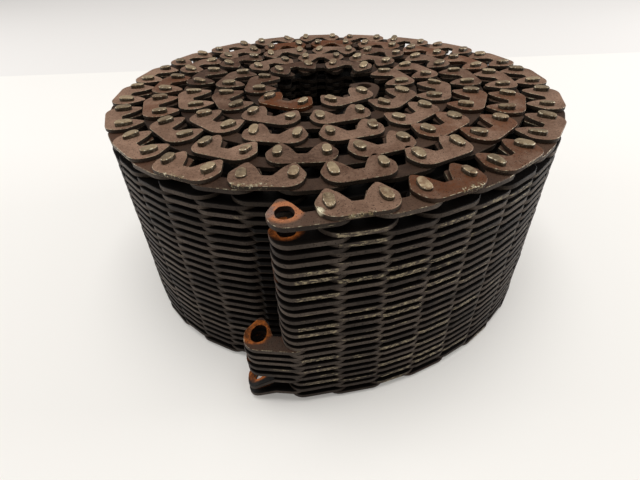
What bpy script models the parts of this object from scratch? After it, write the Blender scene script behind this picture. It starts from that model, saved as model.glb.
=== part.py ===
# Rolled-up length of wide inverted-tooth chain, standing on its edge with its free end at the front.
# Lengths are in metres. The coil stands on its lower pin heads, and the roll's axis is +Z.
import math

import bmesh
import bpy
from mathutils import Vector

# Chain: half-inch pitch, made of 1.5 mm plates that lie on levels an eighth of a pitch apart
PITCH = 0.0127
LEVEL = PITCH / 8
LEVELS = 49
PIN_HEAD_HEIGHT = 0.00127
HEIGHT = 2 * PIN_HEAD_HEIGHT + LEVELS * LEVEL
RUNNING_GAP = 0.00009
SEAT_DEPTH = 0.00004

# Roll, in pitches and radians, counted anticlockwise from the free end at the front.
# Its axis stands a little off the origin, so that the whole coil is centred over it.
FIRST_RADIUS = 6.856
TURN_STEP = 1.039
OVAL = 0.056
OVAL_AT = math.radians(12)
LOBES = 0.078
LOBES_AT = math.radians(-8.7)
SPRUNG_OUT = 0.042
SPRUNG_OVER = 1.32
FIRST_ANGLE = math.radians(-89)
PITCHES = 136
AXIS_AT = Vector((-0.3377, 0.3151))

# The two loose links at the free end point this way, as a heading from each joint to the next
END_LINK_HEADING = math.radians(188.5)
TAIL_HEADING = math.radians(177)

# First and last guide plate of each turn, counted from the free end
TURNS = ((1, 19), (20, 36), (37, 50), (51, 60), (61, 68))
TURN_CUT = 0.014

# Right halves of the plates' outlines about the middle of their link, in pitches: x along the chain and y away
# from the roll's axis. Each runs from the back, round the end and the tooth, to the notch between the teeth.
GUIDE_HALF = ((0.42, 0.505), (0.77, 0.4), (0.87, 0.0), (0.75, -0.34), (0.52, -0.46), (0.14, 0.08))
LOWER_GUIDE_HALF = ((0.42, 0.505), (0.84, 0.06), (0.52, -0.46), (0.14, 0.08))

# Packs of inner plates, drawn as one ribbon with the notches of its links
PACK_BACK = 0.513
PACK_TIP = -0.475
PACK_BACK_HALF = 0.36
PACK_TIP_HALF = 0.28
PACK_NOTCH_TOP = 0.03
PACK_NOTCH_HALF = 0.13
PACK_END = ((0.77, 0.38), (0.87, 0.0), (0.75, -0.34), (0.52, PACK_TIP))

# A plate of the end link: its end inside the knuckle, then its open end from the notch round to the back
KNUCKLE_END = ((0.26, PACK_BACK), (0.34, 0.1), (0.3, -0.12), (0.14, PACK_NOTCH_TOP))
OPEN_TOOTH = ((-0.14, PACK_NOTCH_TOP), (-0.52, PACK_TIP), (-0.75, -0.34))
OPEN_END = ((-0.87, 0.0), (-0.77, 0.38), (-0.42, PACK_BACK))

# Pins, eyes and the knuckle about which the end link turns
PIN_AT = 0.592
PIN_HALF_WIDTH = 0.12
PIN_HALF_HEIGHT = 0.225
PIN_FLAT = 0.13
PIN_LOWER_HALF = 0.18
EYE_RADIUS = 0.205
EYE_SIDES = 10
STUB_RADIUS = 0.165
KNUCKLE_RADIUS = 0.5
KNUCKLE_SIDES = 20
RECESS_RADIUS = 0.53
RECESS_TURNS = (math.radians(25), math.radians(50))
SMOOTH_UNDER = math.radians(40)

# Levels of the plates, counted down from the upper guide plate. Level 2 is empty all round.
UPPER_INNER_LEVEL = 1
EMPTY_LEVEL = 2
INNER_LEVELS = [4.4 + 2 * row for row in range(22)]
GUIDE_LINK_LEVELS = [5.4 + 2 * row for row in range(21)]
TAIL_LEVELS = (31.4, 33.4, 35.4, 37.4, 39.4)

# The tail's two lowest plates are bent down towards the floor: their levels, how many levels they drop, and the
# two distances from the stub between which they do, in pitches
BENT_LEVELS = (41.4, 45.4)
BENT_DROPS = (5.8, 3.1)
FOLDS = (0.5, 1.3)

# Pockets between the rounded plate ends on the roll's outer face, one for every third plate of a link, and the
# slot that the empty level leaves round it
POCKET = ((-0.34, 0.6), (-0.13, 0.05), (0.13, 0.05), (0.34, 0.6))
POCKET_STEP = 3
SLOT_FROM, SLOT_TO = 0.25, 0.62


def level_top(level):
    return HEIGHT - PIN_HEAD_HEIGHT - level * LEVEL


def roll_radius(angle):
    turns = (angle + math.pi / 2) / (2 * math.pi)
    oval = OVAL * math.cos(2 * (angle - OVAL_AT)) + LOBES * math.cos(3 * (angle - LOBES_AT))
    sprung = SPRUNG_OUT * math.exp(-(angle + math.pi / 2) / SPRUNG_OVER)
    return FIRST_RADIUS - TURN_STEP * turns + oval + sprung


def roll_point(angle):
    return Vector((math.cos(angle), math.sin(angle))) * roll_radius(angle)


def next_angle(angle):
    """The angle of the joint one pitch further on, found by halving."""
    here = roll_point(angle)
    low, high = angle + 0.02, angle + 1.2
    for _ in range(50):
        middle = (low + high) / 2
        if (roll_point(middle) - here).length < 1:
            low = middle
        else:
            high = middle
    return (low + high) / 2


def roll_joints():
    """Every joint of the roll, one pitch apart, from the free end inwards."""
    angles = [FIRST_ANGLE]
    for _ in range(PITCHES):
        angles.append(next_angle(angles[-1]))
    return [AXIS_AT + roll_point(angle) for angle in angles]


JOINTS = roll_joints()
END_EYE = JOINTS[0] + Vector((math.cos(END_LINK_HEADING), math.sin(END_LINK_HEADING)))
TAIL_EYE = END_EYE + Vector((math.cos(TAIL_HEADING), math.sin(TAIL_HEADING)))


def placed(start, end, points):
    """Points given about the middle of the link from start to end, as points of the plan."""
    middle = (start + end) / 2
    along = (end - start).normalized()
    out = Vector((along.y, -along.x))
    return [middle + along * x + out * y for x, y in points]


def mirrored(points):
    """The whole outline from its right half."""
    return list(points) + [(-x, y) for x, y in reversed(points)]


def lower_pin_outline(middle):
    """A plain square head, as far as it shows on the side that the coil stands on."""
    corners = ((1, -1), (1, 1), (-1, 1), (-1, -1))
    return [(middle + x * PIN_HALF_WIDTH, y * PIN_LOWER_HALF) for x, y in corners]


def pin_outline(middle):
    """An oval pin head, longer across the chain than along it."""
    right = [(PIN_HALF_WIDTH, -PIN_FLAT), (PIN_HALF_WIDTH, PIN_FLAT), (0.0, PIN_HALF_HEIGHT)]
    left = [(-PIN_HALF_WIDTH, PIN_FLAT), (-PIN_HALF_WIDTH, -PIN_FLAT), (0.0, -PIN_HALF_HEIGHT)]
    return [(middle + x, y) for x, y in right + left]


def round_outline(centre, radius, sides):
    steps = [2 * math.pi * step / sides for step in range(sides)]
    return [centre + radius * Vector((math.cos(step), math.sin(step))) for step in steps]


def add_prism(mesh, outline, low, high):
    """A closed upright prism on an outline in pitches, between two heights in metres."""
    area = sum(a.x * b.y - b.x * a.y for a, b in zip(outline, outline[1:] + outline[:1]))
    if area < 0:
        outline = outline[::-1]
    lower = [mesh.verts.new((p.x * PITCH, p.y * PITCH, low)) for p in outline]
    upper = [mesh.verts.new((p.x * PITCH, p.y * PITCH, high)) for p in outline]
    mesh.faces.new(lower[::-1])
    mesh.faces.new(upper)
    for i in range(len(outline)):
        j = (i + 1) % len(outline)
        mesh.faces.new((lower[i], lower[j], upper[j], upper[i]))


def prisms(name, shapes, material=None):
    """One object from (outline, low, high) shapes that don't touch each other."""
    mesh = bmesh.new()
    for outline, low, high in shapes:
        add_prism(mesh, list(outline), low, high)
    data = bpy.data.meshes.new(name)
    mesh.to_mesh(data)
    mesh.free()
    data.shade_smooth()
    data.set_sharp_from_angle(angle=SMOOTH_UNDER)
    made = bpy.data.objects.new(name, data)
    bpy.context.scene.collection.objects.link(made)
    if material:
        data.materials.append(material)
    return made


def combine(target, tool, operation):
    """Adds or cuts the tool's shape, and keeps the tool out of the render."""
    tool.hide_render = True
    tool.display_type = "WIRE"
    change = target.modifiers.new(tool.name, "BOOLEAN")
    change.operation = operation
    change.object = tool
    change.solver = "EXACT"


def steel(name, colour, roughness):
    made = bpy.data.materials.new(name)
    made.use_nodes = True
    shader = made.node_tree.nodes["Principled BSDF"]
    shader.inputs["Base Color"].default_value = (*colour, 1)
    shader.inputs["Metallic"].default_value = 0.75
    shader.inputs["Roughness"].default_value = roughness
    return made


def ribbon_outline(first_link, last_link, first_edge, to_middle):
    """Both edges of the packs from the middle of one link to another, which may stop at its middle too."""
    outer, inner = [], []
    for link in range(first_link, last_link + 1):
        back = [(-PACK_BACK_HALF, PACK_BACK), (PACK_BACK_HALF, PACK_BACK)]
        notch = [
            (-PACK_TIP_HALF, PACK_TIP),
            (-PACK_NOTCH_HALF, PACK_NOTCH_TOP),
            (PACK_NOTCH_HALF, PACK_NOTCH_TOP),
            (PACK_TIP_HALF, PACK_TIP),
        ]
        if link == first_link:
            back = [*first_edge, back[1]]
            notch = [(TURN_CUT, PACK_NOTCH_TOP)] + notch[2:]
        if link == last_link and to_middle:
            back = [back[0], (-TURN_CUT, PACK_BACK)]
            notch = notch[:2] + [(-TURN_CUT, PACK_NOTCH_TOP)]
        outer += placed(JOINTS[link], JOINTS[link + 1], back)
        inner += placed(JOINTS[link], JOINTS[link + 1], notch)
    return outer, inner


def recess_edge():
    """The hollow edge that the end link's knuckle turns in, from the notch of the first link to its back."""
    edge = [(RECESS_RADIUS * math.cos(turn) - 0.5, RECESS_RADIUS * math.sin(turn)) for turn in RECESS_TURNS]
    return [*edge, (-PACK_BACK_HALF, PACK_BACK)]


def on_guide_links(first_plate, last_plate, outline, low, high):
    """The same outline on each guide link of a turn, as a prism between two heights."""
    shapes = []
    for plate in range(first_plate, last_plate + 1):
        start, end = JOINTS[2 * plate - 2], JOINTS[2 * plate - 1]
        shapes.append((placed(start, end, outline), low, high))
    return shapes


def pockets(first_link, last_link):
    """Wedges between plate ends: at the inner plates' levels on a guide link, and the other way round."""
    shapes = []
    for link in range(first_link, last_link):
        levels = INNER_LEVELS[::POCKET_STEP] if link % 2 == 0 else GUIDE_LINK_LEVELS[1::POCKET_STEP]
        outline = placed(JOINTS[link], JOINTS[link + 1], POCKET)
        shapes += [(outline, level_top(level + 1), level_top(level)) for level in levels]
    return shapes


def slot_outline(last_link):
    """A band along the outer turn, from inside its packs to outside their backs."""
    inner, outer = [], []
    for link in range(last_link + 1):
        side = placed(JOINTS[link], JOINTS[link + 1], [(0, SLOT_FROM), (0, SLOT_TO)])
        inner.append(side[0])
        outer.append(side[1])
    return inner + outer[::-1]


def build_turn(number, first_plate, last_plate, material):
    """One turn: its packs as a ribbon, its guide plates on both sides and its pin heads."""
    first, last = number == 1, number == len(TURNS)
    first_link = 0 if first else 2 * first_plate - 3
    last_link = 2 * last_plate - 1
    first_edge = recess_edge() if first else [(TURN_CUT, PACK_BACK)]
    outer, inner = ribbon_outline(first_link, last_link, first_edge, not last)
    end = placed(JOINTS[-2], JOINTS[-1], PACK_END) if last else []
    low, high = level_top(LEVELS - 1), level_top(UPPER_INNER_LEVEL)
    turn = prisms(f"turn_{number}", [(outer + end + inner[::-1], low, high)], material)
    if last:
        eye = round_outline(JOINTS[-1], EYE_RADIUS, EYE_SIDES)
        combine(turn, prisms("inner_eye", [(eye, low - LEVEL, high + LEVEL)]), "DIFFERENCE")
    plates = (first_plate, last_plate)
    guides = on_guide_links(*plates, mirrored(GUIDE_HALF), high - SEAT_DEPTH, high + LEVEL)
    guides += on_guide_links(*plates, mirrored(LOWER_GUIDE_HALF), low - LEVEL, low + SEAT_DEPTH)
    heads = []
    for side in (-PIN_AT, PIN_AT):
        heads += on_guide_links(*plates, pin_outline(side), high + SEAT_DEPTH, HEIGHT)
        heads += on_guide_links(*plates, lower_pin_outline(side), 0.0, low - SEAT_DEPTH)
    combine(turn, prisms(f"guide_plates_{number}", guides), "UNION")
    combine(turn, prisms(f"pin_heads_{number}", heads), "UNION")
    if first:
        combine(turn, prisms("pockets", pockets(1, last_link)), "DIFFERENCE")
        slot = (slot_outline(last_link), level_top(EMPTY_LEVEL + 1), level_top(EMPTY_LEVEL))
        combine(turn, prisms("empty_level", [slot]), "DIFFERENCE")


def hang_on_hinge(piece, name, at, height):
    """Gives a moving piece an empty on its hinge's axis as its parent, and leaves the piece where it is."""
    hinge = bpy.data.objects.new(name, None)
    hinge.location = (at.x * PITCH, at.y * PITCH, height)
    bpy.context.scene.collection.objects.link(hinge)
    piece.parent = hinge
    piece.matrix_parent_inverse.translation = -hinge.location


def build_end_link(material):
    """The loose inner link at the free end: separate plates that meet only in the knuckle."""
    low, high = level_top(INNER_LEVELS[-1] + 1) + RUNNING_GAP, level_top(UPPER_INNER_LEVEL) - RUNNING_GAP
    outline = round_outline(JOINTS[0], KNUCKLE_RADIUS, KNUCKLE_SIDES)
    knuckle = prisms("end_link", [(outline, low, high)], material)
    plates = []
    for level in (UPPER_INNER_LEVEL, *INNER_LEVELS):
        outline = placed(END_EYE, JOINTS[0], KNUCKLE_END + OPEN_TOOTH + OPEN_END)
        plates.append((outline, level_top(level + 1) + RUNNING_GAP, level_top(level) - RUNNING_GAP))
    combine(knuckle, prisms("end_link_plates", plates), "UNION")
    eye = round_outline(END_EYE, EYE_RADIUS, EYE_SIDES)
    combine(knuckle, prisms("end_link_eyes", [(eye, low - LEVEL, high + LEVEL)]), "DIFFERENCE")
    hang_on_hinge(knuckle, "end_link_hinge", JOINTS[0], HEIGHT / 2)


def fold(plate, drop):
    """Bends a plate of the tail down between two fold lines across it, by a drop in metres."""
    along = (TAIL_EYE - END_EYE).normalized()
    mesh = bmesh.new()
    mesh.from_mesh(plate.data)
    for reach in FOLDS:
        at = (END_EYE + along * reach) * PITCH
        everything = mesh.verts[:] + mesh.edges[:] + mesh.faces[:]
        bmesh.ops.bisect_plane(mesh, geom=everything, plane_co=at.to_3d(), plane_no=along.to_3d())
    for vertex in mesh.verts:
        reach = (vertex.co.xy / PITCH - END_EYE).dot(along)
        vertex.co.z -= drop * min(max((reach - FOLDS[0]) / (FOLDS[1] - FOLDS[0]), 0.0), 1.0)
    mesh.to_mesh(plate.data)
    mesh.free()


def build_tail(material):
    """The lowest guide-side plates that reach one link further, threaded on a stub of pin."""
    low, high = level_top(BENT_LEVELS[-1] + 1), level_top(TAIL_LEVELS[0] - 1)
    stub = prisms("tail", [(round_outline(END_EYE, STUB_RADIUS, EYE_SIDES), low, high)], material)
    outline = placed(TAIL_EYE, END_EYE, mirrored(GUIDE_HALF))
    for level in (*TAIL_LEVELS, *BENT_LEVELS):
        sheet = (outline, level_top(level + 1) + RUNNING_GAP, level_top(level) - RUNNING_GAP)
        plate = prisms(f"tail_plate_{level:.0f}", [sheet])
        if level in BENT_LEVELS:
            fold(plate, BENT_DROPS[BENT_LEVELS.index(level)] * LEVEL)
        combine(stub, plate, "UNION")
    eye = round_outline(TAIL_EYE, EYE_RADIUS, EYE_SIDES)
    combine(stub, prisms("tail_eyes", [(eye, 0.0, HEIGHT)]), "DIFFERENCE")
    hang_on_hinge(stub, "tail_hinge", END_EYE, (low + high) / 2)


def clear_scene():
    for thing in list(bpy.data.objects):
        bpy.data.objects.remove(thing)


def build():
    clear_scene()
    brown_steel = steel("brown_steel", (0.16, 0.12, 0.09), 0.5)
    dark_steel = steel("dark_steel", (0.09, 0.075, 0.06), 0.5)
    rusty_steel = steel("rusty_steel", (0.24, 0.11, 0.05), 0.7)
    for number, (first_plate, last_plate) in enumerate(TURNS, start=1):
        build_turn(number, first_plate, last_plate, brown_steel)
    build_end_link(dark_steel)
    build_tail(rusty_steel)


build()
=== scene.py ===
import math

import bpy
import numpy as np
from mathutils import Matrix, Vector


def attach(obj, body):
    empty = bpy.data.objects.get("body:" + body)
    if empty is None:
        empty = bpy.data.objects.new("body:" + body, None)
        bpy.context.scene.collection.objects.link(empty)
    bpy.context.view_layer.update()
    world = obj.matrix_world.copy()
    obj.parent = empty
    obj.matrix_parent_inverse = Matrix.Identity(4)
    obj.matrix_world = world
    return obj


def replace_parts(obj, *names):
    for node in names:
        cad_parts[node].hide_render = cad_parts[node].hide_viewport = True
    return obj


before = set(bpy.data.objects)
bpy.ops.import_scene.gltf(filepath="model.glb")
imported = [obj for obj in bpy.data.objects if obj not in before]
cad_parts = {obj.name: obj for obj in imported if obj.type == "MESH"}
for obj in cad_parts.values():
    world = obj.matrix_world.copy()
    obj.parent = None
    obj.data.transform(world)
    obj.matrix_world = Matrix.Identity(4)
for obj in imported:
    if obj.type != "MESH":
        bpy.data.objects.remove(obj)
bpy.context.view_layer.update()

# The run of the chain
# A wide inverted-tooth chain of half-inch pitch is rolled up by hand, so its joints lie on a slightly oval
# spiral, each one pitch from the last, and the free end at the front springs out a little.
PITCH = 0.0127
# Lengths in the plan are in pitches, from the middle of the coil's box.
ROLL_AXIS = np.array((-0.3377, 0.3151))
FIRST_RADIUS, TURN_STEP = 6.856, 1.039
OVAL, OVAL_AT = 0.056, math.radians(12)
LOBES, LOBES_AT = 0.078, math.radians(-8.7)
SPRUNG_OUT, SPRUNG_OVER = 0.042, 1.32
FIRST_ANGLE = math.radians(-89)
PITCHES = 136
SHORTEST_STEP, LONGEST_STEP, HALVINGS = 0.02, 1.2, 50
END_LINK_HEADING, TAIL_HEADING = math.radians(188.5), math.radians(173)
# The first and the last guide link of each turn, counted from the free end.
TURNS = ((1, 19), (20, 36), (37, 50), (51, 60), (61, 68))
# The links lie a little off the smooth run: guide link, how far along it, how far outwards. The others
# follow evenly in between.
STRAYED = (
    (1, -0.02, 0.06), (2, 0.03, -0.01), (4, 0.08, 0.02), (5, 0.20, 0.02), (7, 0.16, 0.08),
    (10, 0.02, -0.06), (14, -0.10, 0.06), (15, -0.02, 0.04), (17, -0.10, 0.00), (18, 0.06, 0.02),
    (19, -0.04, 0.06), (20, -0.08, -0.03), (21, 0.00, -0.12), (22, 0.20, -0.15), (23, 0.18, 0.00),
    (25, 0.16, 0.08), (27, 0.08, 0.10), (30, 0.00, -0.03), (32, -0.12, 0.14), (33, 0.00, 0.06),
    (35, -0.02, -0.02), (39, -0.02, -0.02), (40, 0.14, 0.00), (42, 0.15, 0.20), (43, 0.08, 0.18),
    (44, -0.02, -0.03), (45, -0.04, 0.08), (46, -0.27, 0.21), (47, -0.31, 0.22), (48, -0.10, 0.02),
    (49, -0.06, -0.06), (53, 0.12, 0.03), (54, 0.12, 0.14), (57, -0.04, 0.03), (58, -0.08, 0.14),
    (60, -0.06, -0.13), (62, 0.08, 0.02), (64, 0.04, 0.24), (66, -0.21, 0.14), (67, -0.12, -0.28),
    (68, 0.11, -0.08),
)


def roll_point(angle):
    """Plan point of the roll: its radius shrinks evenly with the angle, plus two cosines and a spring."""
    turned = angle + math.pi / 2
    radius = FIRST_RADIUS - TURN_STEP * turned / (2 * math.pi)
    radius += OVAL * math.cos(2 * (angle - OVAL_AT)) + LOBES * math.cos(3 * (angle - LOBES_AT))
    radius += SPRUNG_OUT * math.exp(-turned / SPRUNG_OVER)
    return radius * np.array((math.cos(angle), math.sin(angle)))


def step_on(angle):
    """The angle of the point one pitch further along the roll, found by halving the interval."""
    low, high = angle + SHORTEST_STEP, angle + LONGEST_STEP
    for _ in range(HALVINGS):
        middle = (low + high) / 2
        if np.linalg.norm(roll_point(middle) - roll_point(angle)) < 1:
            low = middle
        else:
            high = middle
    return (low + high) / 2


def heading(angle):
    """The way of an angle in the plan, one pitch long: its cosine and sine."""
    return np.array((math.cos(angle), math.sin(angle)))


joint_angles = [FIRST_ANGLE]
for _ in range(PITCHES):
    joint_angles.append(step_on(joint_angles[-1]))
smooth = np.array([roll_point(angle) for angle in joint_angles]) + ROLL_AXIS
end_eye = smooth[0] + heading(END_LINK_HEADING)
tail_eye = end_eye + heading(TAIL_HEADING)

# Guide link n lies between joints 2n - 2 and 2n - 1, so joint j is at j / 2 + 0.75 among the guide links.
tangent = np.gradient(smooth, axis=0)
tangent /= np.linalg.norm(tangent, axis=1)[:, None]
guide_link, strayed_along, strayed_out = np.array(STRAYED).T
at_link = np.arange(PITCHES + 1) / 2 + 0.75
joints = smooth + np.interp(at_link, guide_link, strayed_along)[:, None] * tangent
outward = np.stack((tangent[:, 1], -tangent[:, 0]), 1)
joints += np.interp(at_link, guide_link, strayed_out)[:, None] * outward


# Link plates
# Each link is a pack of punched steel plates with rounded ends and two teeth that point into the roll. The
# plates of one link lie between those of the next, and the faces in the spaces between them are painted near
# black, partly for old oil and partly as painted shade between the plates.

# Levels are counted down from the upper guide plates, an eighth of a pitch apart.
LEVEL, LEVELS = PITCH / 8, 49
PIN_HEAD_HEIGHT = 0.00127
HEIGHT = 2 * PIN_HEAD_HEIGHT + LEVELS * LEVEL
PLATE_THICKNESS = 0.00150
PLATE_BACK = 0.515
# Corners of a plate's right half from its back to its teeth, each with its radius and the points of its arc.
PLATE_RIGHT = (
    ((0.80, PLATE_BACK), 0.54, 6),
    ((0.895, -0.06), 0.30, 4),
    ((0.56, -0.61), 0.10, 2),
    ((0.31, -0.32), 0.40, 2),
    ((0.12, 0.05), 0.05, 1),
)
PLATE_RIM = 0.014
SHARP_EDGE = math.radians(35)
EYE_HALF_WIDTH, EYE_HALF_HEIGHT, EYE_POWER = 0.205, 0.235, 2.4
CLOSING_POINTS = 3
INNER_LEVELS = np.array([1.0] + [4.4 + 2 * row for row in range(21)] + [LEVELS - 2.0])
GUIDE_LINK_LEVELS = np.array([3.3] + [5.4 + 2 * row for row in range(21)])
# Below this level the inner turns' plates can't be seen, so they are plainer.
PLAIN_FROM = 8
# How far down a plate's edges face out of the roll, how they are marked (edges not so marked take a colour of
# painted shade), how far the flat back reaches each way from its middle, and how much less it is scuffed at
# its ends.
OUTER_FROM, OUTER_MARK, BACK_HALF, BACK_FADE = -0.25, 0.3, 0.5, 0.4
# Scuffs are on the first links and grow downwards, the plate ends' edges are darker, and the inner turns'
# edges are less bared and take more painted shade, as they lie between turns.
RUBBED_LINKS, LOW_SCUFF, CLEAN_ENDS, INNER_WEAR_AND_LIGHT = 5, 0.35, 0.45, 0.35
LOOSE, END_LOOSE = 0.006, 0.008
dice = np.random.default_rng(11)


def level_top(level):
    """Height of a plate's upper face: plates are spaced by the level and centred in it."""
    return HEIGHT - PIN_HEAD_HEIGHT - np.asarray(level, float) * LEVEL - (LEVEL - PLATE_THICKNESS) / 2


def rounded(corners):
    """Outline of straight edges joined at each corner by an arc of its own radius that touches both edges."""
    points = np.array([point for point, _, _ in corners], float)
    before, after = np.roll(points, 1, 0) - points, np.roll(points, -1, 0) - points
    before /= np.linalg.norm(before, axis=1)[:, None]
    after /= np.linalg.norm(after, axis=1)[:, None]
    half = np.arccos(np.clip((before * after).sum(1), -1, 1)) / 2
    inward = before + after
    inward /= np.linalg.norm(inward, axis=1)[:, None]
    arcs = []
    for i, (_, radius, steps) in enumerate(corners):
        centre = points[i] + inward[i] * radius / math.sin(half[i])
        first, last = (points[i] + way * radius / math.tan(half[i]) - centre for way in (before[i], after[i]))
        start = math.atan2(first[1], first[0])
        turn = (math.atan2(last[1], last[0]) - start + math.pi) % (2 * math.pi) - math.pi
        angle = start + turn * (np.linspace(0, 1, steps) if steps > 1 else np.array([0.5]))
        arcs.append(centre + radius * np.stack((np.cos(angle), np.sin(angle)), 1))
    return np.concatenate(arcs)


def plate_outline(right):
    """A plate's outline about the middle of its link, from the middle of its back round to where it began."""
    left = [((-x, y), radius, steps) for (x, y), radius, steps in reversed(right)]
    outline = rounded(list(right) + left)
    half = len(outline) // 2
    return np.concatenate(([(0, right[0][0][1])], outline[:half], [(0, right[-1][0][1])], outline[half:]))


def inset(outline, by):
    """Each point moved in by a fixed amount along the mean of its two edges' normals."""
    edge = np.roll(outline, -1, 0) - outline
    edge /= np.linalg.norm(edge, axis=1)[:, None]
    mean = edge + np.roll(edge, 1, 0)
    mean /= np.linalg.norm(mean, axis=1)[:, None]
    return outline + by * np.stack((mean[:, 1], -mean[:, 0]), 1)


def strip(first, second):
    """Quads between two rings of point numbers, given in the same order."""
    return np.stack((first, np.roll(first, -1), np.roll(second, -1), second), 1)


def one_plate(outline, rims=1, eyes=(False, False), eye_half_height=EYE_HALF_HEIGHT):
    """One plate: its points, how far each is an edge, its quads, and its flat faces as rings of points.

    The outline is carried down the plate, inset at the upper rim, and at the lower one where there are two.
    An open eye's radius is (|cos / width|^p + |sin / height|^p)^(-1/p), and quads join it to its half's
    outline. Its points lie half way between even steps and the directions of the outline's points.
    """
    count, half = len(outline), len(outline) // 2
    rings = [(inset(outline, PLATE_RIM), 0.0, 0.0), (outline, -PLATE_RIM * PITCH, 1.0)]
    if rims == 0:
        rings = [(outline, 0.0, 0.5)]
    if rims == 2:
        rings += [(outline, PLATE_RIM * PITCH - PLATE_THICKNESS, 1.0)]
        rings += [(inset(outline, PLATE_RIM), -PLATE_THICKNESS, 0.0)]
    else:
        rings += [(outline, -PLATE_THICKNESS, 1.0)]
    points = [np.column_stack((ring, np.full(count, depth))) for ring, depth, _ in rings]
    marks = [np.full(count, mark) for _, _, mark in rings]
    number = np.arange(count)
    quads = [strip(number + count * (k + 1), number + count * k) for k in range(len(rings) - 1)]
    faces, used, drop = [], count * len(rings), count * (len(rings) - 1)
    middle = np.arange(0)
    if any(eyes):
        across = np.linspace(outline[half, 1], outline[0, 1], CLOSING_POINTS + 2)[1:-1, None]
        points += [across * (0, 1, 0) + (0, 0, depth) for depth in (0.0, -PLATE_THICKNESS)]
        marks += [np.zeros(2 * CLOSING_POINTS)]
        middle = used + np.arange(CLOSING_POINTS)
        used += 2 * CLOSING_POINTS
    left = (-1, np.append(np.arange(half, count), 0), middle[::-1])
    right = (1, np.arange(0, half + 1), middle)
    for (side, rim, closing), is_open in zip((left, right), eyes):
        upper = np.concatenate((rim, closing))
        lower = np.concatenate((rim + drop, closing + CLOSING_POINTS))
        if not is_open:
            faces += [upper, lower[::-1]]
            continue
        toward = np.concatenate(points)[upper, :2] - (side * 0.5, 0)
        angle = np.unwrap(np.arctan2(toward[:, 1], toward[:, 0]))
        turn = math.copysign(2 * math.pi, angle[-1] - angle[0])
        angle = (angle + angle[0] + np.linspace(0, turn, len(angle), endpoint=False)) / 2
        toward = np.stack((np.cos(angle), np.sin(angle)), 1)
        sizes = np.abs(toward) / (EYE_HALF_WIDTH, eye_half_height)
        eye = (side * 0.5, 0) + toward * ((sizes ** EYE_POWER).sum(1) ** (-1 / EYE_POWER))[:, None]
        points += [np.column_stack((eye, np.full(len(eye), depth))) for depth in (0.0, -PLATE_THICKNESS)]
        marks += [np.zeros(2 * len(eye))]
        eye_upper = used + np.arange(len(eye))
        eye_lower = eye_upper + len(eye)
        quads += [strip(upper, eye_upper), strip(eye_upper, eye_lower), strip(eye_lower, lower)]
        used += 2 * len(eye)
    return np.concatenate(points), np.concatenate(marks), np.concatenate(quads), faces


def build(name, points, faces, finish, body, slot, material):
    """A piece from arrays: points, faces and four finish values a point, smooth up to the sharp edges."""
    mesh = bpy.data.meshes.new(name)
    mesh.from_pydata(points, [], faces)
    mesh.polygons.foreach_set("use_smooth", np.ones(len(mesh.polygons), bool))
    mesh.set_sharp_from_angle(angle=SHARP_EDGE)
    layer = mesh.attributes.new("finish", "FLOAT_COLOR", "POINT")
    layer.data.foreach_set("color", np.asarray(finish, np.float32).ravel())
    mesh.materials.append(material)
    piece = bpy.data.objects.new(name, mesh)
    bpy.context.scene.collection.objects.link(piece)
    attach(piece, body)
    return piece


def copies(shape, plan, z, own):
    """Many copies of one shape as one mesh, each with its own values beside the shape's edge mark."""
    local, mark, quads, flat = shape
    count = len(plan)
    points = np.concatenate((plan * PITCH, z[..., None]), 2).reshape(-1, 3)
    step = (np.arange(count) * len(local))[:, None, None]
    faces = (quads[None] + step).reshape(-1, 4).tolist()
    for face in flat:
        faces += (face[None] + step[:, 0]).tolist()
    finish = [np.broadcast_to(value, (count, len(local))) for value in (mark, *own)]
    return points, faces, np.stack(finish, 2).reshape(-1, 4)


def place_plates(shape, starts, ends, tops, tone, rust, scuff, loose=LOOSE, wear_and_light=1.0, clean_ends=1.0):
    """Copies of one plate on links from start to end: along the link, out from the roll, down from its top.

    Edges that face out of the roll are marked, less beyond the flat back so that the plate ends' edges are
    darker, and flat backs are marked by their scuffs; edges left unmarked take a colour of painted shade. All
    of it is less where there is less wear, and on the inner turns, whose edges are given more of the painted
    shade.
    """
    local = shape[0]
    count = len(tops)
    along = ends - starts
    along /= np.linalg.norm(along, axis=1)[:, None]
    along = along + dice.normal(0, loose / 2, count)[:, None] * np.stack((-along[:, 1], along[:, 0]), 1)
    out = np.stack((along[:, 1], -along[:, 0]), 1)
    slip = dice.normal(0, loose, (2, count, 1))
    middle = (starts + ends) / 2 + slip[0] * out + slip[1] * along
    plan = middle[:, None] + local[None, :, :1] * along[:, None] + local[None, :, 1:2] * out[:, None]
    on_back = (local[:, 1] > PLATE_BACK - 2 * PLATE_RIM) * (np.abs(local[:, 0]) < BACK_HALF)
    outer = OUTER_MARK * (local[:, 1] > OUTER_FROM) * np.where(on_back, 1.0, clean_ends)
    outer = outer + (1 - OUTER_MARK) * scuff[:, None] * on_back * (1 - BACK_FADE * np.abs(local[:, 0]))
    own = [tone[:, None], rust[:, None], wear_and_light * outer]
    return copies(shape, plan, tops[:, None] + local[None, :, 2], own)


def join(parts):
    """Several sets of points, faces and finish values as one."""
    points, faces, finish, used = [], [], [], 0
    for more, its_faces, its_finish in parts:
        points.append(more)
        faces += [[number + used for number in face] for face in its_faces]
        finish.append(its_finish)
        used += len(more)
    return np.concatenate(points), faces, np.concatenate(finish)


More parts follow.
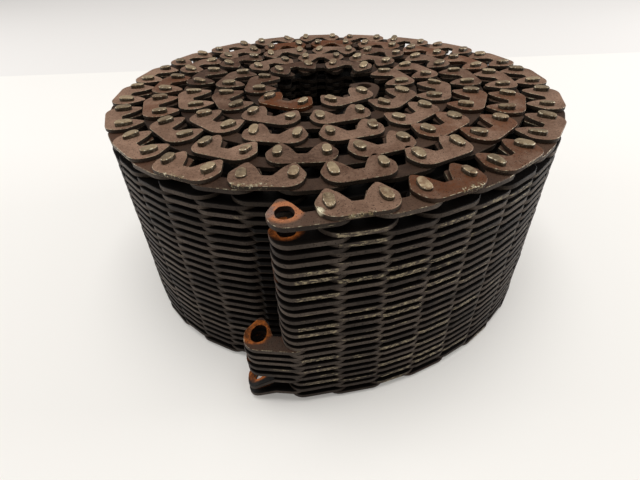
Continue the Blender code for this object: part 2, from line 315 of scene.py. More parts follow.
class Value:
    """A socket of a material, so that shader maths reads as an expression."""

    def __init__(self, finish, socket):
        self.finish, self.socket = finish, socket

    def math(self, operation, first, second):
        return self.finish.node("ShaderNodeMath", {"operation": operation}, {0: first, 1: second})

    def __add__(self, other):
        return self.math("ADD", self, other)

    def __sub__(self, other):
        return self.math("SUBTRACT", self, other)

    def __rsub__(self, other):
        return self.math("SUBTRACT", other, self)

    def __mul__(self, other):
        return self.math("MULTIPLY", self, other)

    __radd__ = __add__
    __rmul__ = __mul__

    def clamp(self):
        return self.finish.node("ShaderNodeClamp", None, {0: self})

    def ramp(self, low, high):
        """0 below low, 1 above high, smooth between."""
        settings = {"interpolation_type": "SMOOTHSTEP"}
        return self.finish.node("ShaderNodeMapRange", settings, {0: self, 1: low, 2: high})


class Finish:
    """A material, the one method that makes its nodes, and short names for the nodes used most."""

    def __init__(self, name):
        self.material = bpy.data.materials.new(name)
        self.material.use_nodes = True
        self.tree = self.material.node_tree
        self.shader = self.tree.nodes["Principled BSDF"]

    def node(self, kind, settings=None, inputs=None, output=0):
        """A node with its settings, then its sockets' values or links, as the value of one of its outputs."""
        made = self.tree.nodes.new(kind)
        for name, value in (settings or {}).items():
            setattr(made, name, value)
        for name, value in (inputs or {}).items():
            self.feed(made.inputs[name], value)
        return Value(self, made.outputs[output])

    def feed(self, slot, value):
        """Links a value to a socket, or sets a number or a colour on it."""
        if isinstance(value, Value):
            self.tree.links.new(value.socket, slot)
        else:
            slot.default_value = value

    def set(self, **sockets):
        """Feeds the shader's own sockets, named with underlines for spaces."""
        for name, value in sockets.items():
            self.feed(self.shader.inputs[name.replace("_", " ")], value)

    def place(self):
        """The point of the piece, in its own space, so that no pattern slides over it."""
        return self.node("ShaderNodeTexCoord", output=3)

    def marks(self):
        """The piece's own values: edge mark, tone, rust and scuff."""
        layer = {"attribute_name": "finish"}
        colour = self.node("ShaderNodeAttribute", layer)
        parts = [self.node("ShaderNodeSeparateColor", None, {0: colour}, part) for part in range(3)]
        return *parts, self.node("ShaderNodeAttribute", layer, None, 3)

    def noise(self, place, scale, detail=3.0, rough=0.55):
        """A cloudy pattern, mostly between 0.3 and 0.7."""
        inputs = {"Vector": place, "Scale": scale, "Detail": detail, "Roughness": rough}
        return self.node("ShaderNodeTexNoise", None, inputs)

    def stretched(self, place, scale):
        """The place with its three axes scaled by different amounts, for a pattern longer one way."""
        return self.node("ShaderNodeVectorMath", {"operation": "MULTIPLY"}, {0: place, 1: scale})

    def near(self, place, centre, inner, outer, flat=(1, 1, 0)):
        """1 within the inner distance of a point and 0 beyond the outer, on the axes that flat keeps."""
        kept = self.stretched(place, flat)
        away = self.node("ShaderNodeVectorMath", {"operation": "DISTANCE"}, {0: kept, 1: centre}, 1)
        return 1 - away.ramp(inner, outer)

    def mix(self, share, first, second):
        """Colours mixed by a share from 0 to 1."""
        return self.node("ShaderNodeMix", {"data_type": "RGBA"}, {0: share, 6: first, 7: second}, 2)

    def bump(self, height, strength, distance):
        """Normals tilted as if the surface had this height, in shares of the distance."""
        inputs = {"Height": height, "Strength": strength, "Distance": distance}
        return self.node("ShaderNodeBump", None, inputs)


def colour(red, green, blue, dim=1.0):
    """A colour as it looks in the photo, from 0 to 255, turned into linear light."""
    shown = np.array((red, green, blue)) / 255
    linear = np.where(shown <= 0.04045, shown / 12.92, ((shown + 0.055) / 1.055) ** 2.4) * dim
    return (*map(float, linear), 1.0)


# Levels between which the faces turn near black, partly as oil and partly as painted shade between the
# plates, and between which the plates turn darker towards the bottom; then the colours of these, of what lies
# on the steel, and of the edges that face into the roll, which is painted shade.
OILY_AND_SHADED, DARKER_LOW_LEVELS = (2.0, 3.3), (38, 46)
OIL_AND_SHADE, DARKER_LOW_COLOUR, SPECK, INWARD_EDGE_SHADE = (9, 7, 6), (40, 30, 24), (18, 13, 10), (52, 44, 37)
WORN, BARE = ((116, 103, 82), (174, 160, 130)), ((128, 113, 82), (222, 212, 182))
EYE_RUST, PALE_EYE_RUST = ((90, 50, 24), (186, 104, 44)), ((180, 116, 78), (132, 106, 94))
# The colour of the painted shade on the upright walls inside open eyes.
EYE_WALL_SHADE = (34, 20, 13)
# Distances from the middle of an open eye, in metres, over which its rust and the painted shade on its walls
# fade out.
RUST_REACH, WALL_SHADE_REACH = (0.0040, 0.0056), (0.0039, 0.0041)
# Sizes of the patterns, as their waves in a metre, and how much shorter the streaks are across an edge.
BROAD, FINE, SPECKS, CHIPS = 130.0, 900.0, 2300.0, 1500.0
STREAKS, STREAKS_SHORTER = 100.0, (1, 1, 5)
LINES, LINES_SHORTER = 120.0, (1, 1, 14)
GRAIN, GRAIN_SHORTER = 700.0, (1, 1, 3)
BUMP_STRENGTH, BUMP_DEPTH = 0.3, 0.0004


def plate_steel(name, face, edge, rusty, rings=(), paler=(1.0, 1.0), patches=(), oily=OILY_AND_SHADED, worn=0.6):
    """Punched steel gone brown: dry faces, greyer edges, worn rims, scuffed backs, and near black between the
    plates, partly oily and partly painted shade. Edges that face into the roll take a colour of painted
    shade, the plates turn darker towards the bottom, and open eyes have painted shade on their upright sides.

    Face and edge are each a light and a dark colour. The rings are plan points of open eyes with rust round
    them, strong above the first height of paler and pale above the second. The patches are points where the
    steel is rubbed bare, oily says from which levels down faces are painted near black, partly as oily steel
    and partly as shade between the plates, and worn how bare the rims are.
    """
    steel = Finish(name)
    place = steel.place()
    edge_mark, tone, rust, outer = steel.marks()
    scuff = outer.ramp(OUTER_MARK, 1.0)
    height = steel.node("ShaderNodeSeparateXYZ", None, {0: place}, 2)
    broad = steel.noise(place, BROAD, 4.0)
    fine = steel.noise(place, FINE, 3.0, 0.6)
    specks = steel.noise(place, SPECKS, 1.0)
    streaks = steel.noise(steel.stretched(place, STREAKS_SHORTER), STREAKS, 2.0)
    lines = steel.noise(steel.stretched(place, LINES_SHORTER), LINES, 2.0)
    grain = steel.noise(steel.stretched(place, GRAIN_SHORTER), GRAIN, 2.0, 0.6)
    is_edge = edge_mark.ramp(0.85, 1.0)
    shade = (tone + broad * 1.3 + fine * 0.9 - 1.1).clamp()
    base = steel.mix(shade, colour(*face[0]), colour(*face[1]))
    patchy = (rust * (broad.ramp(0.35, 0.6) * 0.7 + fine * 0.5)).clamp()
    base = steel.mix(patchy, base, steel.mix(fine.ramp(0.3, 0.7), colour(*rusty, 0.8), colour(*rusty, 1.25)))
    edges = steel.mix(shade, colour(*edge[0]), colour(*edge[1]))
    # Edges marked as facing out of the roll take the edge colours; the rest, and most of the inner turns'
    # edges, take the inward colour, which is painted shade.
    base = steel.mix(is_edge, base, steel.mix(outer.ramp(0.0, OUTER_MARK), colour(*INWARD_EDGE_SHADE), edges))
    # The plates turn darker towards the bottom of the coil, in broad patches.
    darker_low = (1 - height.ramp(float(level_top(DARKER_LOW_LEVELS[1])), float(level_top(DARKER_LOW_LEVELS[0])))) * (broad + 0.1).clamp()
    base = steel.mix(darker_low, base, colour(*DARKER_LOW_COLOUR))
    base = steel.mix(rust.ramp(0.3, 1.2) * is_edge, base, colour(*rusty, 0.6))
    # Faces below these levels are painted near black: partly oil, partly painted shade between the plates.
    oil_and_shade = (1 - height.ramp(float(level_top(oily[1])), float(level_top(oily[0])))) * (1 - is_edge)
    base = steel.mix(oil_and_shade * 0.97, base, colour(*OIL_AND_SHADE))
    if rings:
        normal = steel.node("ShaderNodeNewGeometry", output=1)
        upward = steel.node("ShaderNodeSeparateXYZ", None, {0: normal}, 2)
        ring, eye_wall_shade = 0.0, 0.0
        for x, y in rings:
            ring = steel.near(place, (x, y, 0.0), *RUST_REACH) + ring
            eye_wall_shade = steel.near(place, (x, y, 0.0), *WALL_SHADE_REACH) + eye_wall_shade
        strong = height.ramp(paler[0] - LEVEL, paler[0]) * 0.85 + broad.ramp(0.5, 0.65) * 0.5
        top = steel.mix(broad.ramp(0.53, 0.63), *(colour(*shown) for shown in PALE_EYE_RUST))
        lower = steel.mix((broad + fine * 0.5).ramp(0.6, 0.9), *(colour(*shown) for shown in EYE_RUST))
        orange = steel.mix(height.ramp(paler[1] - LEVEL, paler[1]), lower, top)
        base = steel.mix((ring * strong).clamp() * (grain.ramp(0.3, 0.5) * 0.3 + 0.7), base, orange)
        # Painted shade on the upright walls inside the open eyes.
        base = steel.mix((eye_wall_shade * (1 - upward.ramp(0.3, 0.7))).clamp(), base, colour(*EYE_WALL_SHADE))
    rim = (edge_mark * (1 - edge_mark) * 4) * fine.ramp(0.45, 0.58) * worn * (1 - oil_and_shade)
    rubbed = ((scuff * 0.5 + streaks).ramp(0.8, 0.92) + (scuff * 0.3 + lines).ramp(0.67, 0.75)).clamp()
    rubbed = rubbed * is_edge * grain.ramp(0.4, 0.6)
    worn_steel = steel.mix(fine.ramp(0.4, 0.6), *(colour(*shown) for shown in WORN))
    base = steel.mix(rubbed * 0.7, base, worn_steel)
    bare = rim
    chips = steel.noise(place, CHIPS, 1.0).ramp(0.5, 0.6)
    pale = fine.ramp(0.45, 0.7)
    for x, y, z, radius, solid in patches:
        spot = steel.near(place, (x, y, z), radius * 0.4, radius, (1, 1, 1))
        bare = bare + spot * (chips * (1 - solid) + solid)
        pale = pale + spot * solid
    bare = bare.clamp()
    base = steel.mix(bare, base, steel.mix(pale.clamp(), *(colour(*shown) for shown in BARE)))
    base = steel.mix((1 - specks.ramp(0.32, 0.37)) * 0.85, base, colour(*SPECK))
    steel.set(Base_Color=base, Roughness=0.6 - (bare + rubbed).clamp() * 0.22)
    steel.set(Metallic=0.3, Specular_IOR_Level=0.12)
    steel.set(Normal=steel.bump(fine * 0.6 + broad, BUMP_STRENGTH, BUMP_DEPTH))
    return steel.material


def links_of(turn, kind):
    """First joints of a turn's guide links, or of its inner links, as joint numbers."""
    first, last = TURNS[turn - 1]
    if kind == "guide":
        return np.arange(2 * first - 2, 2 * last - 1, 2)
    return np.arange(2 * first - 1, 2 * last, 2)


SIDE_FACES, SIDE_EDGES = ((92, 70, 56), (56, 40, 31)), ((83, 73, 65), (46, 39, 34))
OUTER_STEEL = plate_steel("outer_plate_steel", SIDE_FACES, SIDE_EDGES, (92, 56, 38))
# The inner turns' plates take a darker copy of the plate steel: oily, and painted with the shade that falls
# between the turns.
SHADED_INNER_FACES, SHADED_INNER_EDGES = ((80, 61, 49), (48, 35, 27)), ((40, 35, 30), (24, 20, 17))
SHADED_INNER_STEEL = plate_steel("oily_shaded_inner_steel", SHADED_INNER_FACES, SHADED_INNER_EDGES, (60, 38, 26), worn=0.1)
seen_plate = one_plate(plate_outline(PLATE_RIGHT))
coarse_right = [(point, radius, min(steps, 2)) for point, radius, steps in PLATE_RIGHT]
deep_plate = one_plate(plate_outline(coarse_right), 0)
last_plate = one_plate(plate_outline(PLATE_RIGHT), 1, (False, True))


def pack(links, levels, shape, wear_and_light):
    """The plates of several links at several levels, each with its own tone, rust and scuffs."""
    link, level = (grid.ravel() for grid in np.meshgrid(links, levels, indexing="ij"))
    count = len(link)
    tone = dice.uniform(0, 1, count)
    rust = dice.uniform(0, 1, count) ** 4 * 0.4
    near_end = np.exp(-(link / RUBBED_LINKS) ** 2)
    scuff = (dice.uniform(0, 1, count) ** 2 + LOW_SCUFF * (level / LEVELS) ** 3) * near_end
    looks = (tone, rust, scuff, LOOSE, wear_and_light, CLEAN_ENDS)
    return place_plates(shape, joints[link], joints[link + 1], level_top(level), *looks)


for turn in range(1, len(TURNS) + 1):
    for kind, levels in (("guide", GUIDE_LINK_LEVELS), ("inner", INNER_LEVELS)):
        links = links_of(turn, kind)
        seen = levels[(levels < PLAIN_FROM) | (turn == 1)]
        deep = levels[(levels >= PLAIN_FROM) & (turn > 1)]
        wear_and_light = 1.0 if turn == 1 else INNER_WEAR_AND_LIGHT
        packs = []
        if turn == len(TURNS) and kind == "inner":
            packs.append(pack(links[-1:], levels, last_plate, wear_and_light))
            links = links[:-1]
        packs.append(pack(links, seen, seen_plate, wear_and_light))
        if len(deep):
            packs.append(pack(links, deep, deep_plate, wear_and_light))
        steel = OUTER_STEEL if turn == 1 else SHADED_INNER_STEEL
        piece = build(f"{kind}_link_plates_{turn}", *join(packs), "coil", "brown_steel", steel)
        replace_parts(piece, f"turn_{turn}")


# Guide plates
# The outermost plate on each side of a guide link has its two pins riveted in it and keeps the pack together.
# The upper ones have a dry brown skin, some of them red with rust, and a few are rubbed bare in places.
GUIDE_RIGHT = (
    ((0.80, PLATE_BACK), 0.41, 7),
    ((0.895, -0.06), 0.30, 6),
    ((0.56, -0.61), 0.10, 4),
    ((0.31, -0.32), 0.40, 4),
    ((0.12, 0.05), 0.05, 3),
)
# Runs of guide plates that differ, by their first and last, and how much rustier the red ones are.
RED_PLATES = (
    (2, 3, 0.35), (23, 24, 0.5), (26, 28, 0.5), (29, 30, 0.9), (33, 34, 0.4), (39, 40, 0.4), (67, 67, 0.8),
)
PALE_PLATES = ((1, 1), (4, 19), (25, 26), (63, 63))
DARK_PLATES = ((2, 3), (29, 30), (43, 43), (46, 47), (64, 65), (67, 67))
GUIDE_SHADE, PALER_BY, DARKER_BY = 0.45, -0.22, 0.3
# Plate, the ends of the rubbed stretch along it, its place across, its radius and how solid it is.
RUBBED = (
    (1, -0.87, -0.80, 0.22, 0.18, 1), (1, -0.25, 0.2, 0.53, 0.11, 0),
    (2, 0.1, 0.6, 0.50, 0.13, 0), (19, -0.4, 0.4, 0.50, 0.12, 0), (20, -0.7, 0.3, 0.47, 0.12, 0),
)
RUBBED_STEP = 0.2


def rubbed_patches():
    """Spots along each rubbed stretch, in metres: x, y, z, radius and how solid."""
    patches = []
    for plate, begin, finish, across, radius, solid in RUBBED:
        start, end = joints[2 * plate - 2], joints[2 * plate - 1]
        along = (end - start) / np.linalg.norm(end - start)
        for x in np.arange(begin, finish, RUBBED_STEP):
            spot = ((start + end) / 2 + x * along + across * np.array((along[1], -along[0]))) * PITCH
            patches.append((*map(float, spot), float(level_top(0)), radius * PITCH, float(solid)))
    return patches


GUIDE_FACES, GUIDE_EDGES = ((150, 120, 100), (72, 51, 39)), ((62, 52, 44), (42, 34, 28))
GUIDE_RUST, RUBBED_PATCHES = (102, 56, 27), rubbed_patches()
GUIDE_STEEL = plate_steel("brown_guide_steel", GUIDE_FACES, GUIDE_EDGES, GUIDE_RUST, patches=RUBBED_PATCHES)
guide_shape = one_plate(plate_outline(GUIDE_RIGHT), 2)

for turn, (first, last) in enumerate(TURNS, start=1):
    plates = np.arange(first, last + 1)
    rust = dice.uniform(0, 0.2, len(plates))
    for low, high, amount in RED_PLATES:
        rust[(plates >= low) & (plates <= high)] += amount
    shade = np.full(len(plates), GUIDE_SHADE)
    for ranges, change in ((PALE_PLATES, PALER_BY), (DARK_PLATES, DARKER_BY)):
        for low, high in ranges:
            shade[(plates >= low) & (plates <= high)] += change
    link = 2 * plates - 2
    for side, level in (("upper", 0), ("lower", LEVELS - 1)):
        tone = shade + dice.normal(0, 0.12, len(plates))
        scuff = dice.uniform(0.2, 1, len(plates)) ** 2
        tops = np.full(len(plates), level_top(level))
        wear_and_light = 1.0 if turn == 1 else INNER_WEAR_AND_LIGHT
        starts, ends = joints[link], joints[link + 1]
        placed = place_plates(guide_shape, starts, ends, tops, tone, rust, scuff, wear_and_light=wear_and_light)
        piece = build(f"{side}_guide_plates_{turn}", *placed, "coil", "brown_steel", GUIDE_STEEL)
        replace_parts(piece, f"turn_{turn}")


# Pins and rockers
# Each pin is a bar of oval section that runs through the whole width and is riveted over at both ends. A
# rocker lies against it in the eyes of the inner links, and ends below the guide plates.
PIN_AT = 0.592
HEAD_HALF_WIDTH, HEAD_HALF_HEIGHT, HEAD_RISE, LOWER_HEAD_RISE = 0.118, 0.22, 0.0016, 0.00125
UPPER_UNEVEN, LOWER_UNEVEN = 0.07, 0.05
# The first upper head of this turn is worn lower than the others.
WORN_TURN, WORN_BY = 2, 0.0009
SHANK_HALF_WIDTH, SHANK_HALF_HEIGHT = 0.065, 0.14
# Rockers end below the guide plates, and none stands within this distance of the chain's inner end.
ROCKER_LEVELS, ROCKER_FOOT, EYE_CLEAR = LEVELS - 2.1, 1.05, 0.3
HEAD_PROFILE = ((1.0, -0.2, 1.0), (1.02, 0.4, 1.0), (1.02, 0.8, 1.0), (0.88, 1.0, 0.0), (0.4, 1.02, 0.0))
BAR_PROFILE = ((1.0, 0.0, 0.0), (1.0, 1.0, 0.0))


def oval(sides, power):
    """A superellipse of unit size: cosine and sine, each raised to a power that squares its corners."""
    angle = np.arange(sides) * 2 * math.pi / sides
    wave = np.stack((np.cos(angle), np.sin(angle)), 1)
    return -np.sign(wave) * np.abs(wave) ** power * (1, -1)


def rod(section, profile, half_width, half_height, height):
    """A section carried up a profile of (scale, share of the height, edge mark), closed at both ends."""
    count = len(section)
    size = section * (half_width, half_height)
    points = [np.column_stack((size * scale, np.full(count, share * height))) for scale, share, _ in profile]
    number = np.arange(count)
    quads = [strip(number + count * k, number + count * (k + 1)) for k in range(len(profile) - 1)]
    marks = np.repeat([mark for _, _, mark in profile], count)
    ends = [number[::-1], number + count * (len(profile) - 1)]
    return np.concatenate(points), marks, np.concatenate(quads), ends


def place_rods(shape, centres, alongs, bases, uneven=0.0, facing=1):
    """Copies of one rod that stand at the centres, turned with their links, as uneven as riveting left them.

    Each one's outline swells and shrinks by three waves round it, and its end leans a little but is worn flat
    where the coil stands on it.
    """
    local, mark, quads, flat = shape
    count = len(centres)
    along = alongs + dice.normal(0, uneven, count)[:, None] * np.stack((-alongs[:, 1], alongs[:, 0]), 1)
    out = np.stack((along[:, 1], -along[:, 0]), 1)
    angle = np.arctan2(local[:, 1], local[:, 0])
    swell = 1 + dice.normal(0, uneven / 2, (count, 1))
    for waves in (2, 3, 5):
        phase = dice.uniform(0, 6, (count, 1))
        swell = swell + dice.normal(0, uneven / 2, (count, 1)) * np.cos(waves * angle + phase)
    plan = centres[:, None] + local[None, :, :1] * swell[..., None] * along[:, None]
    plan = plan + local[None, :, 1:2] * swell[..., None] * out[:, None]
    tilt = dice.normal(0, uneven, (2, count, 1))
    lean = (tilt[0] * local[:, 0] + tilt[1] * local[:, 1] - np.abs(tilt[0]) * 0.2) * PITCH * (local[:, 2] > 0)
    z = np.maximum(bases[:, None] + facing * (local[None, :, 2] + lean), 0)
    if facing < 0:
        quads, flat = quads[:, ::-1], [face[::-1] for face in flat]
    own = [dice.uniform(0, 1, (count, 1)) for _ in range(3)]
    return copies((local, mark, quads, flat), plan, z, own)


def pin_steel():
    """Harder steel that stays brighter: olive grey with hammered specks, glints painted on the rims and in
    small spots, and dark brown sides, partly dirt where the head meets its plate and partly painted shade.
    """
    steel = Finish("worn_pin_steel")
    place = steel.place()
    edge_mark, tone, rust, _ = steel.marks()
    broad = steel.noise(place, 450.0, 3.0)
    fine = steel.noise(place, 1300.0, 3.0, 0.65)
    base = steel.mix((tone * 0.6 + broad * 1.1 - 0.4).clamp(), colour(176, 154, 122), colour(98, 81, 60))
    base = steel.mix((rust.ramp(0.6, 1.0) * broad.ramp(0.4, 0.6)).clamp() * 0.6, base, colour(104, 68, 44))
    base = steel.mix((1 - fine.ramp(0.32, 0.4)) * 0.5, base, colour(46, 37, 28))
    rim = (edge_mark * (1 - edge_mark) * 4).ramp(0.2, 0.9)
    # The head's sides are painted dark: partly dirt where it meets its plate, partly painted shade.
    base = steel.mix(edge_mark.ramp(0.7, 1.0) * 0.85, base, colour(34, 27, 21))
    # Painted glints: near white on the rims and in thin spots over the whole head.
    base = steel.mix(((rim + 0.12) * fine.ramp(0.52, 0.64)).clamp() * 0.9, base, colour(226, 216, 188))
    steel.set(Base_Color=base, Roughness=fine * 0.3 + 0.3, Metallic=0.5, Specular_IOR_Level=0.3)
    steel.set(Normal=steel.bump(fine, 0.35, 0.0004))
    return steel.material


def bar_steel():
    """The oily bars inside the chain, nearly black, with a dull shine."""
    steel = Finish("oily_bar_steel")
    fine = steel.noise(steel.place(), 500.0)
    base = steel.mix(fine.ramp(0.4, 0.65), colour(30, 26, 23), colour(17, 14, 12))
    steel.set(Base_Color=base, Roughness=fine * 0.3 + 0.3, Metallic=0.6, Specular_IOR_Level=0.25)
    return steel.material


PIN_STEEL, BAR_STEEL = pin_steel(), bar_steel()
head_sizes = (HEAD_HALF_WIDTH, HEAD_HALF_HEIGHT)
head_shape = rod(oval(16, 0.78), HEAD_PROFILE, *head_sizes, HEAD_RISE)
lower_head_shape = rod(oval(16, 0.78), HEAD_PROFILE, *head_sizes, LOWER_HEAD_RISE)
bar_sizes = (SHANK_HALF_WIDTH, SHANK_HALF_HEIGHT)
shank_shape = rod(oval(8, 0.8), BAR_PROFILE, *bar_sizes, HEIGHT - 2 * PIN_HEAD_HEIGHT - LEVEL)
rocker_shape = rod(oval(8, 0.8), BAR_PROFILE, *bar_sizes, ROCKER_LEVELS * LEVEL)


def pins_of(links):
    """Centres of both pins of each link, and the link's direction at each."""
    start, end = joints[links], joints[links + 1]
    along = (end - start) / np.linalg.norm(end - start, axis=1)[:, None]
    middle = (start + end) / 2
    return np.concatenate((middle - PIN_AT * along, middle + PIN_AT * along)), np.concatenate((along, along))


for turn in range(1, len(TURNS) + 1):
    centres, alongs = pins_of(links_of(turn, "guide"))
    is_worn = (np.arange(len(centres)) == 0) & (turn == WORN_TURN)
    top = level_top(0) - WORN_BY * is_worn
    bottom = np.full(len(centres), level_top(LEVELS - 1) - PLATE_THICKNESS)
    upper_heads = place_rods(head_shape, centres, alongs, top, UPPER_UNEVEN)
    lower_heads = place_rods(lower_head_shape, centres, alongs, bottom, LOWER_UNEVEN, -1)
    piece = build(f"pin_heads_{turn}", *join([upper_heads, lower_heads]), "coil", "brown_steel", PIN_STEEL)
    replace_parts(piece, f"turn_{turn}")
    shanks = place_rods(shank_shape, centres, alongs, np.full(len(centres), PIN_HEAD_HEIGHT + LEVEL / 2))
    rocker_centres, rocker_alongs = pins_of(links_of(turn, "inner"))
    keep = np.linalg.norm(rocker_centres - joints[-1], axis=1) > EYE_CLEAR
    rocker_bases = np.full(keep.sum(), PIN_HEAD_HEIGHT + ROCKER_FOOT * LEVEL)
    rockers = place_rods(rocker_shape, rocker_centres[keep], rocker_alongs[keep], rocker_bases)
    piece = build(f"pins_and_rockers_{turn}", *join([shanks, rockers]), "coil", "brown_steel", BAR_STEEL)
    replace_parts(piece, f"turn_{turn}")


# End link
# The last inner link at the free end turns on the first guide link's pin. Its other eyes are empty, so the
# plates stand apart there, with orange rust round the open eyes of the upper two.

# It has slipped outwards a little on its pin, with all that hangs on it.
END_SLIPPED = np.array((0.0, -0.05))
eye_spots = [tuple(map(float, eye * PITCH)) for eye in (end_eye, tail_eye)]
END_FACES, END_RUST, END_RUSTED = ((120, 98, 82), (84, 67, 56)), (104, 58, 34), 0.12
END_RINGS = (float(level_top(5.2)), float(level_top(1.5)))
END_STEEL = plate_steel("end_link_steel", END_FACES, SIDE_EDGES, END_RUST, eye_spots[:1], END_RINGS)
end_plate = one_plate(plate_outline(GUIDE_RIGHT), 1, (True, True))


def loose_pack(shape, start, end, levels, rust, loose=END_LOOSE):
    """One link's open-eyed plates, each with its own tone, rust and scuffs."""
    count = len(levels)
    starts, ends = np.tile(start, (count, 1)), np.tile(end, (count, 1))
    tone, scuff = dice.uniform(0, 1, count), dice.uniform(0, 1, count) ** 3
    rust = rust + dice.uniform(-0.1, 0.1, count)
    return place_plates(shape, starts, ends, level_top(levels), tone, rust, scuff, loose)


end_link_ends = (end_eye + END_SLIPPED, smooth[0] + END_SLIPPED)
end_plates = loose_pack(end_plate, *end_link_ends, INNER_LEVELS, END_RUSTED)
piece = build("end_link_plates", *end_plates, "end_link", "dark_steel", END_STEEL)
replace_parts(piece, "end_link")


# Tail
# The lowest guide-side plates reach one link further, on a broken-off stub of pin. The last two are bent down
# towards the floor, and the far eyes of all of them are rusty.
TAIL_EYE_HALF_HEIGHT = 0.28
open_plate = one_plate(plate_outline(GUIDE_RIGHT), 1, (True, True), TAIL_EYE_HALF_HEIGHT)
# The bent plates drop by so many levels between two places along the link, and reach a little further out.
TAIL_LEVELS, BENT_LEVELS = (31.4, 33.4, 35.4, 37.4, 39.4), (41.4, 45.4)
BENT_DROPS, BENT_OUT, FOLDS = (4.5, 2.6), 0.12, (0.66, 1.35)
TAIL_RUSTED, BENT_RUSTED, TAIL_LOOSE = 0.15, 0.2, 0.012
# The tail's faces below its top plate are painted near black, partly for oil and partly as painted shade
# between the plates.
TAIL_FACES, TAIL_OILY_AND_SHADED = ((76, 63, 54), (54, 43, 36)), (31.5, 33.4)
tail_along = (tail_eye - end_eye) / np.linalg.norm(tail_eye - end_eye)
slid = BENT_OUT * tail_along
eye_spots.append(tuple(map(float, (tail_eye + slid) * PITCH)))
TAIL_RINGS, TAIL_RUST = (float(level_top(31.6)), 1.0), (110, 62, 36)
tail_looks = (TAIL_FACES, SIDE_EDGES, TAIL_RUST, eye_spots)
TAIL_STEEL = plate_steel("tail_steel", *tail_looks, TAIL_RINGS, oily=TAIL_OILY_AND_SHADED)
BENT_STEEL = plate_steel("bent_tail_steel", *tail_looks, (0.0, 1.0), oily=TAIL_OILY_AND_SHADED)
tail_start, tail_end = tail_eye + END_SLIPPED, end_eye + END_SLIPPED
tail_plates = loose_pack(open_plate, tail_start, tail_end, TAIL_LEVELS, TAIL_RUSTED, TAIL_LOOSE)
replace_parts(build("tail_plates", *tail_plates, "tail", "rusty_steel", TAIL_STEEL), "tail")
bent_plates = []
for level, drop in zip(BENT_LEVELS, BENT_DROPS):
    bent = loose_pack(open_plate, tail_start + slid, tail_end + slid, (level,), BENT_RUSTED)
    points, faces, finish = bent
    reach = (points[:, :2] / PITCH - end_eye) @ tail_along
    points[:, 2] -= drop * LEVEL * np.clip((reach - FOLDS[0]) / (FOLDS[1] - FOLDS[0]), 0, 1)
    bent_plates.append((points, faces, finish))
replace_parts(build("bent_tail_plates", *join(bent_plates), "tail", "rusty_steel", BENT_STEEL), "tail")

# The stub reaches one level beyond the tail's plates both ways.
STUB_HALF_WIDTH, STUB_HALF_HEIGHT = 0.15, 0.18
STUB_PROFILE = ((0.9, 0.0, 0.0), (1.0, 0.02, 1.0), (1.0, 0.98, 1.0), (0.85, 1.0, 0.0))
stub_foot, stub_top = level_top(BENT_LEVELS[-1] + 1), level_top(TAIL_LEVELS[0] - 1)
stub_sizes = (STUB_HALF_WIDTH, STUB_HALF_HEIGHT, stub_top - stub_foot)
stub_shape = rod(oval(12, 0.8), STUB_PROFILE, *stub_sizes)
stub = place_rods(stub_shape, end_eye[None], -tail_along[None], np.array([stub_foot]))
piece = build("tail_stub", *stub, "tail", "rusty_steel", PIN_STEEL)
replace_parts(piece, "tail")


# Floor, light and camera
# A pale sheet, a little greyer at the back, lies under soft light from above, with a weaker soft lamp low on
# each side. The camera stands close in front and looks down on the coil.
FLOOR_HALF, BACKDROP_FROM, FLOOR_GLOW = 2.0, 0.308, 0.22
ROOM_COLOUR, ROOM_STRENGTH = (1, 0.98, 0.95, 1), 0.38
LIT_POINT = (0, 0, 0.04)


def pale_sheet(name, near, far, shade):
    """A flat sheet on the floor between two places in depth, with a faint glow of its own."""
    mesh = bpy.data.meshes.new(name)
    corners = [(-FLOOR_HALF, near, 0), (FLOOR_HALF, near, 0), (FLOOR_HALF, far, 0), (-FLOOR_HALF, far, 0)]
    mesh.from_pydata(corners, [], [(0, 1, 2, 3)])
    paper = Finish(name)
    paper.set(Base_Color=colour(*shade, 1 - FLOOR_GLOW), Roughness=0.9)
    paper.set(Emission_Color=colour(*shade), Emission_Strength=FLOOR_GLOW)
    mesh.materials.append(paper.material)
    sheet = bpy.data.objects.new(name, mesh)
    bpy.context.scene.collection.objects.link(sheet)


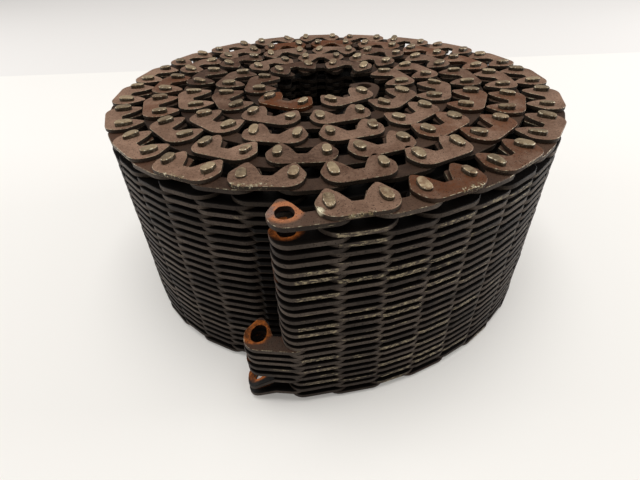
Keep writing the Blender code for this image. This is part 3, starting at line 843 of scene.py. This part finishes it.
FLOOR_SHADE, BACKDROP_SHADE = (243, 240, 235), (234, 231, 228)
pale_sheet("pale_floor", -FLOOR_HALF, BACKDROP_FROM, FLOOR_SHADE)
pale_sheet("pale_backdrop", BACKDROP_FROM, FLOOR_HALF, BACKDROP_SHADE)

world = bpy.data.worlds.new("soft_room")
bpy.context.scene.world = world
world.use_nodes = True
world.node_tree.nodes["Background"].inputs["Color"].default_value = ROOM_COLOUR
world.node_tree.nodes["Background"].inputs["Strength"].default_value = ROOM_STRENGTH


def softbox(name, place, size, power):
    """A square lamp that faces the middle of the coil."""
    data = bpy.data.lights.new(name, "AREA")
    data.size, data.energy = size, power
    lamp = bpy.data.objects.new(name, data)
    lamp.location = place
    lamp.rotation_euler = (Vector(LIT_POINT) - Vector(place)).to_track_quat("-Z", "Y").to_euler()
    bpy.context.scene.collection.objects.link(lamp)


CEILING_SIZE, WINDOW_SIZE = 0.9, 0.5
softbox("ceiling", (0.0, 0.0, 1.4), CEILING_SIZE, 12.5)
softbox("left_window", (-1.0, 0.15, 0.25), WINDOW_SIZE, 4.4)
softbox("right_window", (1.0, 0.15, 0.2), WINDOW_SIZE, 6.8)
bpy.context.scene.view_settings.view_transform = "Standard"

# The camera's place is in pitches from the roll's axis and the coil's top, and its angles are in radians.
CAMERA_AT = np.array((-0.1859, -13.8778, 4.55))
CAMERA_TILT, CAMERA_ROLL = 0.674546, -0.0378618
SENSOR_WIDTH, FOCAL_PIXELS, PHOTO_WIDTH, CLIP_START = 36.0, 421.5, 640, 0.005
data = bpy.data.cameras.new("camera")
data.sensor_width = SENSOR_WIDTH
data.lens = FOCAL_PIXELS / PHOTO_WIDTH * SENSOR_WIDTH
data.clip_start = CLIP_START
camera = bpy.data.objects.new("camera", data)
spot = Matrix.Translation((CAMERA_AT + (*ROLL_AXIS, 0)) * PITCH + (0, 0, HEIGHT))
tilt, roll = Matrix.Rotation(math.pi / 2 - CAMERA_TILT, 4, "X"), Matrix.Rotation(CAMERA_ROLL, 4, "Z")
camera.matrix_world = spot @ tilt @ roll
bpy.context.scene.collection.objects.link(camera)
bpy.context.scene.camera = camera
